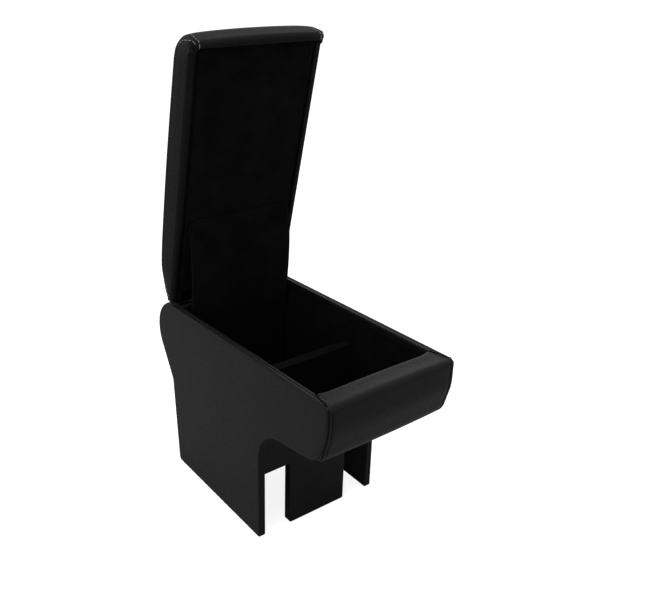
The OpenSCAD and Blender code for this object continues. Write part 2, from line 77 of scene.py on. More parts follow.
# The felt under the lid: its half width, and the half width and depth of the groove round it
LINING_HALF, GROOVE_HALF, GROOVE_D = 71.6, 77.6, 4.6
# The lid's edge: where its roll ends, its turn in radians, and how the lip falls and thickens to the sides
ROLL_END, ROLL_TURN, LIP_FALL, LIP_GROW = 8.0, 1.4, 5.0, 6.0
# The cheeks' leather: its swell, its tuck beside the nose's cover, and its wider roll there
PUFF, NOSE_TUCK, NOSE_ROLL = 0.4, 0.75, 3.6
# The nose's cover: its seam's distance from the edge, where its top band begins, and the round of its edge
NOSE_SEAM, BAND_Z, NOSE_EDGE_R = 4.1, 200.0, 3.5
SLOPE = math.tan(math.radians(RIM_SLOPE))


def rim_z(y):
    return RIM_H - y * SLOPE


# The cheek's outline, (y, z, radius), from the leg's front foot round the rear bulge and the nose to the arch
CHEEK = [(0, 0, 1.5), (LEG_D, 0, 5), (LEG_D + LEG_LEAN, WAIST_H, 20), (BULGE_REACH, BULGE_H, BULGE_R),
         (BULGE_TOP, rim_z(BULGE_TOP), 4), (-NOSE, rim_z(-NOSE), 4), (-NOSE, BROW_H, BROW_R),
         (-CHIN_REACH, CHIN_H, CHIN_R), (0, ARCH_H, ARCH_R)]


def unit(v):
    return v / max(1e-9, np.linalg.norm(v))


def rounded(corners, steps=8):
    """The outline's points, steps + 1 for each corner, with round corners."""
    n = len(corners)
    pts = [np.array(c[:2], float) for c in corners]

    def half(i):
        a, b = unit(pts[i - 1] - pts[i]), unit(pts[(i + 1) % n] - pts[i])
        return math.acos(max(-1, min(1, float(a @ b)))) / 2

    def tangent(i):
        return corners[i][2] / math.tan(half(i))

    out = []
    for i in range(n):
        j = (i + 1) % n
        a, b, h = unit(pts[i - 1] - pts[i]), unit(pts[j] - pts[i]), half(i)
        share = min(1, 0.999 * np.linalg.norm(pts[i] - pts[i - 1]) / max(0.01, tangent(i) + tangent(i - 1)),
                    0.999 * np.linalg.norm(pts[i] - pts[j]) / max(0.01, tangent(i) + tangent(j)))
        r = max(0.02, corners[i][2] * share)
        m = pts[i] + unit(a + b) * r / math.sin(h)
        s, e = pts[i] + a * r / math.tan(h) - m, pts[i] + b * r / math.tan(h) - m
        a0 = math.atan2(s[1], s[0])
        sweep = (math.atan2(e[1], e[0]) - a0 + 3 * math.pi) % (2 * math.pi) - math.pi
        for k in range(steps + 1):
            t = a0 + sweep * k / steps
            out.append(m + r * np.array([math.cos(t), math.sin(t)]))
    return out


def inset(corners, d):
    """The outline's corners moved inward; edge i runs from corner i to corner i + 1."""
    n, out = len(corners), []
    for i in range(n):
        c, p, q = (np.array(corners[k % n][:2], float) for k in (i, i - 1, i + 1))
        e1, e2 = unit(c - p), unit(q - c)
        n1, n2 = np.array([-e1[1], e1[0]]), np.array([-e2[1], e2[0]])
        d1, d2 = d[i - 1], d[i]
        det = n1[0] * n2[1] - n1[1] * n2[0]
        move = np.array([d1 * n2[1] - d2 * n1[1], n1[0] * d2 - n2[0] * d1]) / det
        grow = -min(d1, d2) if det > 0 else max(d1, d2)
        out.append((c[0] + move[0], c[1] + move[1], max(0.0, corners[i][2] + grow)))
    return out


OUTER = rounded(CHEEK)
MID_Y = (max(p[0] for p in OUTER) + min(p[0] for p in OUTER)) / 2
HALF_W = BODY_W / 2
CHEEK_IN = HALF_W - SKIN - CHEEK_T
FOLD_X = CHEEK_IN - SKIN
CHIN_LINE = unit(np.array([-CHIN_REACH, CHIN_H - ARCH_H]))
PANEL_TOP = ARCH_H - ARCH_R / math.tan(math.acos(float(CHIN_LINE @ np.array([0, -1.0]))) / 2)
WALL_IN = -NOSE + NOSE_D - FELT
FLOOR_Z = SLOT_H + 2
FLOOR_TOP = FLOOR_Z + BOARD
REAR_IN = PIN_Y - PIN_BACK - BOARD
PIN_Z = rim_z(PIN_Y) + (LID_GAP - LID_Z) / math.cos(math.radians(RIM_SLOPE))
LID_L = PIN_Y + NOSE + LID_OVER
LID_HALF = LID_W / 2
SEAM_X = LID_HALF - SEAM_IN
SIDES = ((-1, "left"), (1, "right"))
OPEN, TILT = math.radians(90 - LEAN), math.radians(LEAN)


def rear_end(z):
    """How far behind the pin the lid's rear end lies, so that it stands on the rim when open."""
    return (rim_z(PIN_Y) + STOP_GAP - PIN_Z) / math.cos(TILT) - z * math.tan(TILT)


def place(p):
    """A point of the box, from millimetres to the frame's metres."""
    return Vector((p[0], p[1] - MID_Y, p[2])) * MM


def on_open_lid(p):
    """A point of the lid, given with the lid closed round its pin, where it is with the lid open."""
    c, s = math.cos(-OPEN), math.sin(-OPEN)
    return place((p[0], PIN_Y + p[1] * c - p[2] * s, PIN_Z + p[1] * s + p[2] * c))


MATERIALS = {}

# Mesh making


def add_object(name, data):
    obj = bpy.data.objects.new(name, data)
    bpy.context.scene.collection.objects.link(obj)
    return obj


def link(name, mesh, material, body=None):
    obj = add_object(name, mesh)
    mesh.materials.append(material)
    if body:
        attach(obj, body)
    return obj


def mesh_of(name, points, faces, sharp=None):
    """A clean, smooth mesh from points in metres; edges sharper than the angle stay crisp."""
    mesh = bpy.data.meshes.new(name)
    mesh.from_pydata([tuple(p) for p in points], [], [tuple(f) for f in faces])
    bm = bmesh.new()
    bm.from_mesh(mesh)
    bmesh.ops.remove_doubles(bm, verts=bm.verts, dist=2e-6)
    bmesh.ops.dissolve_degenerate(bm, edges=bm.edges, dist=1e-6)
    bmesh.ops.recalc_face_normals(bm, faces=bm.faces)
    for f in bm.faces:
        f.smooth = True
    if sharp is not None:
        for e in bm.edges:
            if len(e.link_faces) == 2 and e.calc_face_angle(0) > math.radians(sharp):
                e.smooth = False
    bm.to_mesh(mesh)
    bm.free()
    mesh.validate()
    return mesh


def piece(name, skin, body, key="leather", sharp=None):
    """A piece of the scene from its points and faces, in one of the finishes, on its body."""
    return link(name, mesh_of(name, *skin, sharp), MATERIALS[key], body)


def loft(rings, closed=True, cap=True):
    """Points and faces of a skin over rings that have the same number of points."""
    n, points, faces = len(rings[0]), [p for ring in rings for p in ring], []
    for i in range(len(rings) - 1):
        for j in range(n if closed else n - 1):
            k = (j + 1) % n
            faces.append((i * n + j, i * n + k, (i + 1) * n + k, (i + 1) * n + j))
    if cap:
        faces.append(tuple(range(n - 1, -1, -1)))
        faces.append(tuple((len(rings) - 1) * n + j for j in range(n)))
    return points, faces


def add_tube(rings, points, faces):
    """Adds a closed skin over rings to the points and faces of a piece."""
    start = len(points)
    more, skin = loft(rings)
    points += more
    faces += [tuple(start + k for k in f) for f in skin]


def resample(points, step, closed=True):
    """The outline's points again, at even distances of about one step."""
    p = [np.array(q, float) for q in points]
    if closed:
        p.append(p[0])
    d = [0.0]
    for a, b in zip(p, p[1:]):
        d.append(d[-1] + float(np.linalg.norm(b - a)))
    n = max(8, int(round(d[-1] / step)))
    where = np.linspace(0, d[-1], n + 1)[: n if closed else n + 1]
    axes = [np.interp(where, d, [q[k] for q in p]) for k in range(len(p[0]))]
    return [np.array(q) for q in zip(*axes)]


def smooth_step(t):
    t = max(0.0, min(1.0, t))
    return t * t * (3 - 2 * t)


def dent(x, at, width, depth):
    """How deep a sewn seam pulls the leather in, at a distance from it."""
    return depth * math.exp(-(((x - at) / width) ** 2))


# Materials


def node(tree, kind, at=(0, 0), **values):
    n = tree.nodes.new(kind)
    n.location = at
    for key, value in values.items():
        if key in n.bl_rna.properties:
            setattr(n, key, value)
        else:
            n.inputs[key.replace("_", " ")].default_value = value
    return n


def new_group(name, values, outputs):
    """A node group with a vector and floats, which have these values, as inputs, and floats as outputs."""
    group = bpy.data.node_groups.new(name, "ShaderNodeTree")
    group.interface.new_socket(name="Vector", in_out="INPUT", socket_type="NodeSocketVector")
    for label, value in values.items():
        socket = group.interface.new_socket(name=label, in_out="INPUT", socket_type="NodeSocketFloat")
        socket.default_value = value
    for label in outputs:
        group.interface.new_socket(name=label, in_out="OUTPUT", socket_type="NodeSocketFloat")
    return group, group.nodes.new("NodeGroupInput"), group.nodes.new("NodeGroupOutput")


def join(tree, *wires):
    """Links in a node tree: node and output to node and input, by name or number."""
    for source, out, target, into in wires:
        tree.links.new(source.outputs[out], target.inputs[into])


def pebble_grain_group():
    """Leatherette: pebbled grain over shallow stretch marks, with a mask of the valleys."""
    group, gin, gout = new_group("Pebble Grain", {"Pebbles": 900.0, "Depth": 1.0, "Stretch": 0.5},
                                 ("Height", "Valleys", "Mottle"))
    warp = node(group, "ShaderNodeTexNoise", (-600, 200), Scale=260.0, Detail=2.0)
    shift = node(group, "ShaderNodeVectorMath", (-420, 200), operation="MULTIPLY_ADD")
    shift.inputs[1].default_value = (0.7 * MM, 0.7 * MM, 0.7 * MM)
    cells = node(group, "ShaderNodeTexVoronoi", (-240, 200), feature="SMOOTH_F1")
    cells.inputs["Smoothness"].default_value = 0.6
    valley = node(group, "ShaderNodeMapRange", (-60, 320), From_Min=0.35, From_Max=0.75)
    broad = node(group, "ShaderNodeTexNoise", (-240, -120), Scale=24.0, Detail=4.0)
    pebble = node(group, "ShaderNodeMath", (120, 120), operation="MULTIPLY")
    wide = node(group, "ShaderNodeMath", (120, -80), operation="MULTIPLY")
    total = node(group, "ShaderNodeMath", (300, 40), operation="SUBTRACT")
    join(group, (gin, "Vector", warp, "Vector"), (warp, "Color", shift, 0), (gin, "Vector", shift, 2),
         (shift, "Vector", cells, "Vector"), (gin, "Pebbles", cells, "Scale"),
         (cells, "Distance", valley, "Value"), (gin, "Vector", broad, "Vector"),
         (cells, "Distance", pebble, 0), (gin, "Depth", pebble, 1), (broad, "Fac", wide, 0),
         (gin, "Stretch", wide, 1), (wide, 0, total, 0), (pebble, 0, total, 1), (total, 0, gout, "Height"),
         (valley, "Result", gout, "Valleys"), (broad, "Fac", gout, "Mottle"))
    return group


def fibre_group():
    """Needle felt, foam cells or wood fibre: fine tangled height and a coarse patchy mask."""
    group, gin, gout = new_group("Tangled Fibre", {"Fibres": 1400.0, "Patches": 40.0},
                                 ("Height", "Patchy"))
    fine = node(group, "ShaderNodeTexNoise", (-200, 120), Detail=3.0, Roughness=0.7, Distortion=1.2)
    coarse = node(group, "ShaderNodeTexNoise", (-200, -120), Detail=3.0)
    join(group, (gin, "Vector", fine, "Vector"), (gin, "Fibres", fine, "Scale"),
         (gin, "Vector", coarse, "Vector"), (gin, "Patches", coarse, "Scale"),
         (fine, "Fac", gout, "Height"), (coarse, "Fac", gout, "Patchy"))
    return group


def start_material(name, **values):
    mat = bpy.data.materials.new(name)
    mat.use_nodes = True
    tree = mat.node_tree
    shader = tree.nodes["Principled BSDF"]
    for key, value in values.items():
        shader.inputs[key.replace("_", " ")].default_value = value
    return mat, tree, shader


def place_group(tree, group, **values):
    """A node group in a material, with its own values, over the piece's own coordinates."""
    coords = node(tree, "ShaderNodeTexCoord", (-1100, 0))
    placed = node(tree, "ShaderNodeGroup", (-800, 0))
    placed.node_tree = group
    for key, value in values.items():
        placed.inputs[key].default_value = value
    join(tree, (coords, "Object", placed, "Vector"))
    return placed.outputs


def two_tone(tree, mask, colour, vary, socket):
    """A colour that gets lighter and darker by a share of itself with a mask."""
    dark, light = ([c * (1 + way * vary) for c in colour] for way in (-1, 1))
    ramp = node(tree, "ShaderNodeValToRGB", (-420, 220))
    ramp.color_ramp.elements[0].color = (*dark, 1)
    ramp.color_ramp.elements[1].color = (*light, 1)
    ramp.color_ramp.elements[0].position = 0.3
    ramp.color_ramp.elements[1].position = 0.7
    tree.links.new(mask, ramp.inputs["Fac"])
    tree.links.new(ramp.outputs["Color"], socket)


def spread(tree, mask, low, high, socket):
    """A number that runs from low to high with a mask."""
    span = node(tree, "ShaderNodeMapRange", (-420, 0), To_Min=low, To_Max=high)
    tree.links.new(mask, span.inputs["Value"])
    tree.links.new(span.outputs["Result"], socket)


def relief(tree, height, shader, distance, strength=1.0):
    bump = node(tree, "ShaderNodeBump", (-240, -260), Distance=distance, Strength=strength)
    tree.links.new(height, bump.inputs["Height"])
    tree.links.new(bump.outputs["Normal"], shader.inputs["Normal"])


def leatherette(name, colour, pebbles, roughness, grain, shine):
    mat, tree, shader = start_material(name, Specular_IOR_Level=shine)
    out = place_group(tree, grain, Pebbles=pebbles)
    two_tone(tree, out["Mottle"], colour, 0.2, shader.inputs["Base Color"])
    spread(tree, out["Valleys"], roughness - 0.05, roughness + 0.15, shader.inputs["Roughness"])
    relief(tree, out["Height"], shader, 0.12 * MM, 0.7)
    return mat


def fibrous(name, colour, fibre, fibres, depth, roughness=0.95, spec=0.05, sheen=0.0, vary=0.35):
    values = {"Roughness": roughness, "Specular_IOR_Level": spec, "Sheen_Weight": sheen}
    mat, tree, shader = start_material(name, **values)
    out = place_group(tree, fibre, Fibres=fibres)
    two_tone(tree, out["Patchy"], colour, vary, shader.inputs["Base Color"])
    relief(tree, out["Height"], shader, depth * MM, 0.8)
    return mat


# The hinge's steel: its near-black colour is painted shade, standing for the deep shadow in the gap at the
# hinge.
def steel_in_painted_shade(name, colour, fibre):
    mat, tree, shader = start_material(name, Metallic=1.0)
    out = place_group(tree, fibre, Fibres=700.0)
    two_tone(tree, out["Patchy"], colour, 0.2, shader.inputs["Base Color"])
    spread(tree, out["Height"], 0.25, 0.45, shader.inputs["Roughness"])
    relief(tree, out["Height"], shader, 0.03 * MM, 0.5)
    return mat


# Settings


COLOUR = {"subtype": "COLOR", "size": 3, "min": 0.0, "max": 1.0}
SHARE = {"subtype": "FACTOR", "min": 0.0, "max": 1.0}
WATTS = {"min": 0.0, "max": 500.0}


class LeatherSettings(PropertyGroup):
    edge_round: FloatProperty(
        name="Edge round", description="Round of the covered boards' edges", default=1.7 * MM,
        min=0.5 * MM, max=4.0 * MM, subtype="DISTANCE")
    nose_proud: FloatProperty(
        name="Nose padding", description="How far the nose's cover stands over the cheeks' edges",
        default=0.6 * MM, min=0.2 * MM, max=3.0 * MM, subtype="DISTANCE")
    chin_full: FloatProperty(
        name="Chin padding", description="How much further the nose's cover stands at the chin",
        default=2.4 * MM, min=0.0, max=6.0 * MM, subtype="DISTANCE")
    nose_crown: FloatProperty(
        name="Nose crown", description="How far the nose's cover swells at its middle", default=1.2 * MM,
        min=0.0, max=5.0 * MM, subtype="DISTANCE")
    lid_crown: FloatProperty(
        name="Lid crown", description="How far the lid's padding swells between the seams",
        default=3.2 * MM, min=0.0, max=8.0 * MM, subtype="DISTANCE")
    seam_depth: FloatProperty(
        name="Seam depth", description="How deep the lid's seams pull in", default=2.0 * MM, min=0.0,
        max=4.0 * MM, subtype="DISTANCE")
    pebbles: FloatProperty(
        name="Pebbles", description="Grain pebbles of the leatherette to a metre", default=900.0,
        min=200.0, max=3000.0)
    colour: FloatVectorProperty(
        name="Leatherette", description="Colour of the leatherette", default=(0.0042, 0.0042, 0.0045),
        **COLOUR)
    roughness: FloatProperty(
        name="Roughness", description="Roughness of the leatherette", default=0.48, **SHARE)
    shine: FloatProperty(
        name="Shine", description="Specular level of the leatherette", default=0.14, **SHARE)


class ThreadSettings(PropertyGroup):
    pitch: FloatProperty(
        name="Stitch pitch", description="Distance from one stitch to the next", default=5.6 * MM,
        min=2 * MM, max=12 * MM, subtype="DISTANCE")
    length: FloatProperty(
        name="Stitch length", description="Length of one stitch", default=4.4 * MM, min=1 * MM,
        max=10 * MM, subtype="DISTANCE")
    thickness: FloatProperty(
        name="Thread", description="Thickness of the thread", default=0.55 * MM, min=0.2 * MM, max=2 * MM,
        subtype="DISTANCE")
    inner: FloatProperty(
        name="Inner row", description="Distance of the top strip's stitches from the seam",
        default=4.0 * MM, min=1 * MM, max=8 * MM, subtype="DISTANCE")
    outer: FloatProperty(
        name="Outer row", description="Distance of the gusset's stitches from the seam", default=7.0 * MM,
        min=1 * MM, max=9 * MM, subtype="DISTANCE")
    sides: IntProperty(
        name="Thread sides", description="Sides of the thread's round", default=6, min=4, max=12)
    colour: FloatVectorProperty(
        name="Thread colour", description="Colour of the stitching", default=(0.42, 0.42, 0.42), **COLOUR)
    nose_cord: FloatProperty(
        name="Nose seam", description="Thickness of the cord sewn into the nose's seams",
        default=0.8 * MM, min=0.4 * MM, max=3 * MM, subtype="DISTANCE")


class InsideSettings(PropertyGroup):
    felt: FloatVectorProperty(
        name="Felt", description="Colour of the felt", default=(0.0035, 0.0035, 0.0037), **COLOUR)
    # The board's near-black colour is partly its own dark face, as inside the legs, and partly painted shade
    # where board edges show at the hinge and beside the lid's felt.
    board: FloatVectorProperty(
        name="Board", description="Colour of the fibreboard, near black partly as painted shade", default=(0.0075, 0.007, 0.0065),
        **COLOUR)
    foam: FloatVectorProperty(
        name="Foam", description="Colour of the foam", default=(0.6, 0.56, 0.42), **COLOUR)
    # Near-black steel: painted shade for the shadowed hinge.
    steel: FloatVectorProperty(
        name="Steel", description="Colour of the steel, darkened as painted shade", default=(0.003, 0.003, 0.0033),
        **COLOUR)


class StageSettings(PropertyGroup):
    floor: FloatVectorProperty(
        name="Floor", description="Colour of the floor", default=(0.9, 0.9, 0.9), **COLOUR)
    top_light: FloatProperty(
        name="Top light", description="Power of the light overhead in watts", default=9.0, **WATTS)
    side_light: FloatProperty(
        name="Side light", description="Power of the light at the left in watts", default=6.0, **WATTS)
    back_light: FloatProperty(
        name="Back light", description="Power of the light behind at the left in watts", default=3.2,
        **WATTS)
    backdrop: FloatProperty(
        name="Backdrop", description="Strength of the surround where it is seen or mirrored",
        default=1.02, min=0.0, max=3.0)
    right_light: FloatProperty(
        name="Right light", description="Power of the light behind at the right in watts", default=1.6,
        **WATTS)
    surround: FloatProperty(
        name="Surround", description="Strength of the light from all round", default=0.3, min=0.0,
        max=3.0)


class ArmrestSettings(PropertyGroup):
    leather: PointerProperty(type=LeatherSettings, name="Leather")
    thread: PointerProperty(type=ThreadSettings, name="Thread")
    inside: PointerProperty(type=InsideSettings, name="Inside")
    stage: PointerProperty(type=StageSettings, name="Stage")


def settings(context):
    return context.scene.armrest


# Shapes of the pieces


def edge_insets(d, front):
    """Distances for the cheek outline's edges: less under the foot, more along the nose's cover."""
    return [d * 0.35, d, d, d, d, d + front, d + front, d + front * 0.5, d]


def cheek_rings(side, r):
    """One cheek: leather round the board's edges, a crease along them, and a flat fold round the inside."""
    rings, turn = [], [math.pi / 2 * k / 5 for k in range(6)]

    def ring(x, d, tuck=NOSE_TUCK):
        pts = rounded(inset(CHEEK, edge_insets(d - PUFF, tuck + PUFF)))
        rings.append([place((side * (x + PUFF * (x > CHEEK_IN)), p[0], max(0.0, p[1]))) for p in pts])

    ring(HALF_W, r + 2.0, NOSE_TUCK + NOSE_ROLL)
    for t in turn:
        ring(HALF_W - r * (1 - math.cos(t)), r * (1 - math.sin(t)), NOSE_TUCK + NOSE_ROLL * (1 - math.sin(t)))
    for x, d in ((81.3, 0.0), (80.8, 0.25), (80.4, 0.5), (80.0, 0.25), (79.5, 0.0)):
        ring(x, d)
    for t in turn[::-1]:
        ring(FOLD_X + r * (1 - math.cos(t)), r * (1 - math.sin(t)))
    for x, d in ((FOLD_X, LEG_FOLD - 0.6), (FOLD_X + 0.4, LEG_FOLD), (CHEEK_IN + 0.6, LEG_FOLD + 0.1)):
        ring(x, d)
    return rings


def strip(path, half_width, proud, crown, outside=1, xs=22, edge=1.6, grooves=(), bend=None, sewn=None):
    """A cover over a path seen from the side, tucked down along both edges.

    path holds (y, z) points in order, with the outside on the left (1) or the right (-1); half_width(i),
    proud(i) and crown(i) give each point's half width, height over the path and swell at the middle.
    grooves are (distance from the edge, width, depth), sewn(i) is the share of that depth, and bend(i, x)
    moves a point along Y."""
    normals = []
    for i, p in enumerate(path):
        a, b = path[max(0, i - 1)], path[min(len(path) - 1, i + 1)]
        t = unit(np.array(b) - np.array(a))
        normals.append(np.array([-t[1], t[0]]) * outside)
    rows = []
    for i, p in enumerate(path):
        w, row = half_width(i), []
        rim = [(-w, -1.4 - max(0.0, proud(i)))]
        rim += [(-w + edge * (1 - math.cos(a)), math.sin(a) - 1.0) for a in (0.25, 0.7, 1.15)]
        flat = [(w - edge) * math.cos(math.pi * k / xs) for k in range(xs + 1)]
        for g, wide, deep in grooves:
            beside = [w - g + u * wide for u in (-1.7, -0.9, -0.4, 0.0, 0.4, 0.9, 1.7)]
            flat += beside + [-x for x in beside]
        for x, h in rim + [(x, 0.0) for x in sorted(flat)] + [(-x, h) for x, h in rim[::-1]]:
            swell = crown(i) * (1 - (x / w) ** 2) + proud(i)
            for g, wide, deep in grooves:
                swell -= dent(abs(x), w - g, wide, deep) * (sewn(i) if sewn else 1.0)
            q = np.array(p) + normals[i] * (swell + h)
            dy = bend(i, x) if bend else 0.0
            row.append(place((x, q[0] + dy, q[1] - dy * SLOPE)))
        rows.append(row)
    return rows


def sheet_piece(name, rows, outward, thickness=SKIN, offset=-1.0, body="box", key="leather"):
    """A piece from an open sheet over rows of points, facing the vector's way, with its thickness."""
    obj = piece(name, loft(rows, closed=False, cap=False), body, key)
    facing = sum((p.normal * p.area for p in obj.data.polygons), Vector())
    if facing.dot(Vector(outward)) < 0:
        obj.data.flip_normals()
    mod = obj.modifiers.new("Thickness", "SOLIDIFY")
    mod.thickness, mod.offset, mod.use_even_offset = thickness * MM, offset, False
    done = bpy.data.meshes.new_from_object(obj.evaluated_get(bpy.context.evaluated_depsgraph_get()))
    obj.modifiers.clear()
    open_sheet, obj.data = obj.data, done
    bpy.data.meshes.remove(open_sheet)
    return obj


def nose_path():
    """From the bin's front edge over the nose and down to the front panel."""
    top = [(WALL_IN + SKIN, rim_z(WALL_IN) - RIM_FOLD), (WALL_IN + SKIN, rim_z(WALL_IN) - 6)]
    r = 2.5
    for k in range(6):
        t = math.pi / 2 * k / 5
        y = WALL_IN + SKIN - r * (1 - math.cos(t))
        top.append((y, rim_z(y) - r * (1 - math.sin(t))))
    outline = rounded([CHEEK[4], CHEEK[5][:2] + (NOSE_EDGE_R,), CHEEK[6], CHEEK[7], CHEEK[8], CHEEK[0]], 10)
    body = [tuple(p) for p in outline[11:55]]
    path = top + body + [(0.0, body[-1][1]), (0.0, PANEL_TOP - 4.0)]
    return [tuple(p) for p in resample(path, 3.2, closed=False)]


def band_share(y):
    """Where a point of the nose's top band lies, from the bin's edge (0) to the nose's front edge (1)."""
    return (WALL_IN + SKIN - y) / (NOSE - 2 + WALL_IN + SKIN)


def nose_half_width(p):
    """Half width of the nose's cover: mitred at the top and on the underside."""
    y, z = p
    inner, outer = CHEEK_IN - 1.2, HALF_W - 1.1
    if z > BAND_Z:
        return inner + (outer - inner) * max(0.0, min(1.0, band_share(y)))
    if z < 175:
        t = (-90.0 - y) / 17.0
        return CHEEK_IN - 0.15 + (outer - CHEEK_IN + 0.15) * smooth_step(t)
    return outer


def rear_path():
    """From the ledge behind the hinge over the bulge and down to the bin's floor."""
    ledge = PIN_Y + 3.5
    pts = rounded(CHEEK, 10)
    rear = [tuple(p) for p in pts[11:55] if p[1] > FLOOR_Z and p[0] > ledge][::-1]
    foot = LEG_D + FLOOR_Z / WAIST_H * LEG_LEAN
    r = 1.5
    start = [(ledge, rim_z(ledge) - 8), (ledge, rim_z(ledge) - r), (ledge + 0.5, rim_z(ledge) - 0.4),
             (ledge + r, rim_z(ledge + r))]
    path = start + rear + [(foot, SLOT_H + 3.5), (foot - 1.0, FLOOR_Z), (foot - 9, SLOT_H + 1.6)]
    return [tuple(p) for p in resample(path, 3.2, closed=False)]


# The lid


def lid_column(s, look):
    """Across the lid, s mm out from its seam; past the roll's end, the rest is a share of its half height.

    Gives x, the insets of the front end, the rear end, the top and the underside, the lip's height and
    thickness, and the round of the front end's upper corner there."""
    crown = look.leather.lid_crown / MM
    pull = dent(s, 0.0, 0.8, look.leather.seam_depth / MM) + dent(s, -look.thread.inner / MM, 0.6, 0.4)
    x = SEAM_X + s
    if s > 0:
        a, f = ROLL_TURN * min(1.0, s / ROLL_END), max(0.0, s - ROLL_END)
        c = (1 - math.cos(a)) / (1 - math.cos(ROLL_TURN))
        swell = 0.9 * math.sin(math.pi * a / ROLL_TURN) - pull
        x = SEAM_X + (SEAM_IN + swell) * math.sin(a) / math.sin(ROLL_TURN)
    under = 4.2 * (1 - math.sqrt(1 - min(0.985, max(0.0, (x - LID_HALF + 5.5) / 5.6)) ** 2))
    if s <= 0:
        u = x / SEAM_X
        bow = crown * (1 - u ** 2)
        front = pull + crown * 0.9 - bow * 0.6 + 1.0 * u ** 8
        return (x, front, pull + 0.2, pull - bow + 1.2 * u ** 6, under, LIP_H - LIP_FALL * u ** 10,
                LIP_D + LIP_GROW * u ** 12 - front, 22.0)
    more = f * (LID_T - 8.4 - under) / 2 * 0.97
    top = 7.2 * c + 1.2 - swell * math.cos(a) * 0.8
    lip = max(0.6, (LIP_H - LIP_FALL) * (1 - 0.1 * c) - 2.2 * more)
    thick = max(0.8, (LIP_D + LIP_GROW - crown * 0.9 - 1.0) * (1 - 0.4 * c) - 2 * more)
    return (x + 0.47 * (2 * f - f * f), 5.5 * c + crown * 0.9 + 1.0 + more, 5.0 * c + 0.2 + more, top + more,
            under + more, lip, thick, 22.0 + 4.0 * c)


def lid_columns(look):
    """The lid's half section, from its middle to its side, closest where the groove and the seam are."""
    marks = [-80, -70, -60, -50, -41, -33, -26, -20, -16, -13, -11, -9.6, -8.4, -7.8, -7.3, -6.9, -6.5, -6.1,
             -5.7, -5.2, -4.7, -4.1, -3.6, -3.1, -2.6, -2.1, -1.6, -1.2, -0.8, -0.4, 0, 0.4, 0.8, 1.2, 1.8,
             2.6, 3.4, 4.2, 5.0, 5.7, 6.2, 6.6, 7.0, 7.4, 7.7, 8.0, 8.1, 8.2, 8.32, 8.45, 8.6, 8.78, 9.0]
    return [lid_column(float(s), look) for s in marks]


def lid_ring(col):
    """One section of the lid along its length, seen from the side, always with as many points."""
    front, rear, top, under, lip, thick, nose = col[1:]
    low, high, end = LID_Z + under, LID_Z + LID_T - top, -LID_L + front

    def back(z):
        return -rear_end(z) - rear / math.cos(TILT)

    corners = [(back(low), low, 1.5 + 2.0 * min(4.5, rear)),
               (back(high), high, max(1.0, 26 - min(rear, top))),
               (end, high, max(1.0, nose - min(front, top))), (end, low - lip, 5.5),
               (end + thick, low - lip, 5.0), (end + thick, low, 1.0)]
    pts, out = rounded(corners, 10), []
    for s, spans in enumerate((5, 46, 6, 14, 5, 44)):
        here, nxt = pts[11 * s: 11 * s + 11], pts[11 * (s + 1) % 66]
        out += here + [here[-1] + (nxt - here[-1]) * k / spans for k in range(1, spans)]
    return out


def lid_section(side, col):
    """The lid's ring at one column, on its open place, with the felt's recess and its own full shape."""
    out = []
    for y, z in lid_ring(col):
        narrow = 9.5 * max(0.0, (36 - y - LID_L) / 36) ** 2 + 3.4 * smooth_step((46 + y) / 34)
        x = side * (col[0] - narrow * smooth_step((z - LID_Z) / LID_T) * (col[0] / LID_HALF) ** 4)
        if z < LID_Z + 1.0 and y > -LID_L + LIP_D - 1.5:
            window = min(smooth_step((LID_L - LIP_D + y) / 2.0 + 0.5), smooth_step((-y - 17.0) / 2.0))
            z += window * GROOVE_D * smooth_step((GROOVE_HALF - abs(x)) / 1.2)
            z += 1.0 * smooth_step((-y - 270) / 10) * smooth_step((LID_Z + 2.0 - z) / 1.5)
        fuller = 2.6 * max(0.0, math.sin(math.pi * min(1.0, -y / LID_L))) ** 1.5
        z += smooth_step((z - LID_Z - 6) / 16) * (fuller - 8.0 * max(0.0, 1 + y / 78) ** 2)
        out.append(on_open_lid((x, y, z)))
    return out


def flap_points():
    """The flap's middle line, from its edge on the lid down into the bin."""
    s, c = math.sin(TILT), math.cos(TILT)
    z = LID_Z + SKIN - FELT - FLAP_T / 2 - 0.1
    a = np.array([PIN_Y - FLAP_REACH * s + z * c, PIN_Z + FLAP_REACH * c + z * s])
    d = np.array([REAR_IN - FELT - FLAP_T / 2 - 0.6, FLOOR_TOP + FELT + 1])
    b = np.array([d[0] - FLAP_BOW, a[1] - (a[1] - d[1]) / 3])
    e = np.array([d[0] + 0.13 * FLAP_BOW, a[1] - (a[1] - d[1]) * 2 / 3])
    line = []
    for i in range(97):
        t = i / 96
        line.append(a * (1 - t) ** 3 + b * 3 * t * (1 - t) ** 2 + e * 3 * (1 - t) * t * t + d * t ** 3)
    return resample(line, 4.0, closed=False)


# Operators


